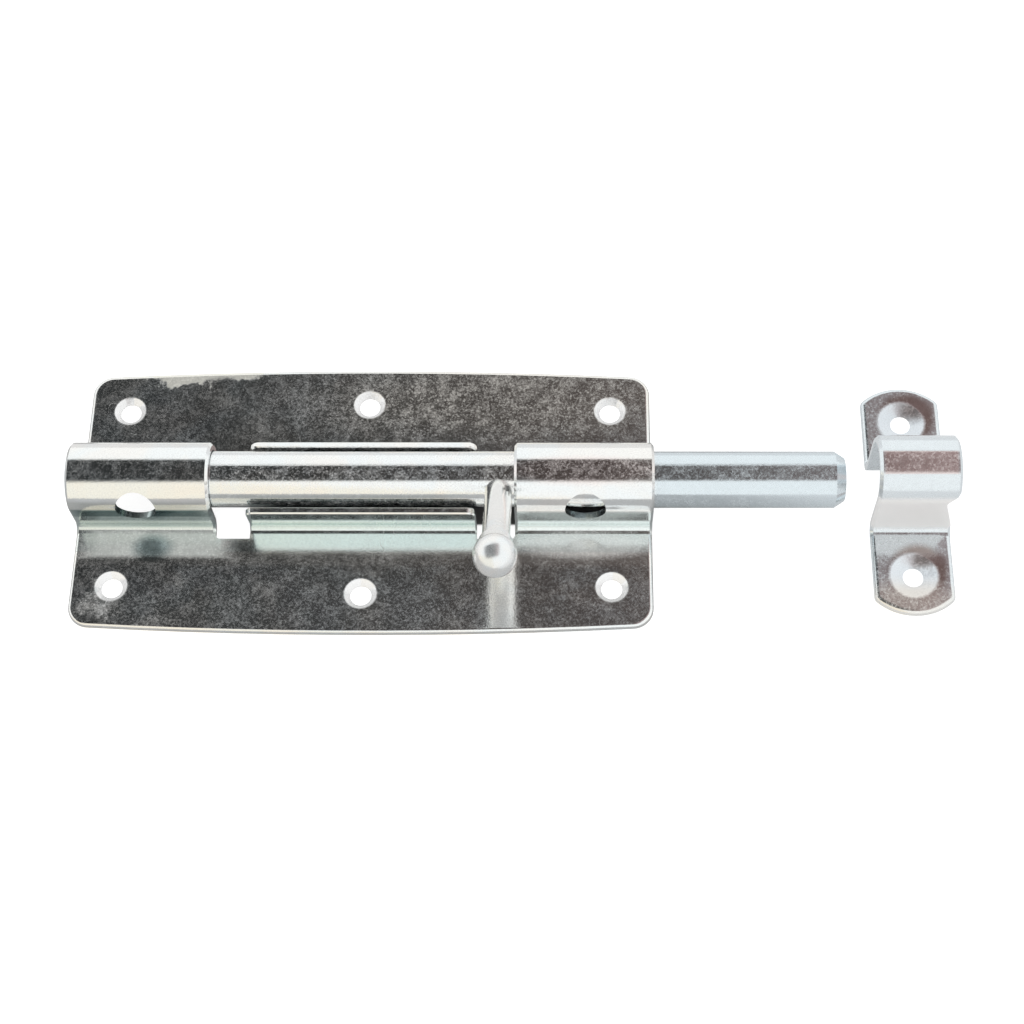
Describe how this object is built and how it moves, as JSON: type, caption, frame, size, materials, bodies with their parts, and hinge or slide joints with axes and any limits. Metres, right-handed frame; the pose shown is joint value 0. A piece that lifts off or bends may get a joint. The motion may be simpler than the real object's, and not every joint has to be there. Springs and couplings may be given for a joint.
{
  "type": "sliding bolt",
  "caption": "Surface sliding bolt: a round bar with a ball-ended handle slides through loops folded from its screw plate, towards a separate folded keeper.",
  "frame": {"origin": "middle of the plate's four corner screws, on the flat back of the plate", "axes": "+X the way the bar shoots, towards the keeper; +Z out of the door, away from the plate's back; the handle stands out to -Y"},
  "size_m": [0.1875, 0.064, 0.033],
  "materials": {
    "plate_zinc": "bright zinc-plated pressed steel sheet, mirror-like, with fine grain and scratches",
    "bar_zinc": "bright zinc-plated drawn steel bar, mirror-like, lightly rubbed along its length",
    "handle_zinc": "bright zinc-plated turned steel",
    "keeper_zinc": "bright zinc-plated pressed steel strip, a little cloudy"
  },
  "bodies": {
    "mounted": {"bolt_plate": "plate_zinc", "keeper": "keeper_zinc"},
    "bar": {"bar": "bar_zinc"},
    "handle": {"handle": "handle_zinc"}
  },
  "joints": [
    {"name": "bar_slide", "type": "slide", "parent": "mounted", "child": "bar", "axis": [1, 0, 0], "range_m": [-0.0579, 0]},
    {"name": "handle_turn", "type": "hinge", "parent": "bar", "child": "handle", "pos_m": [0.0293, 0, 0.0096], "axis": [1, 0, 0], "range_deg": [-150, 40]}
  ]
}
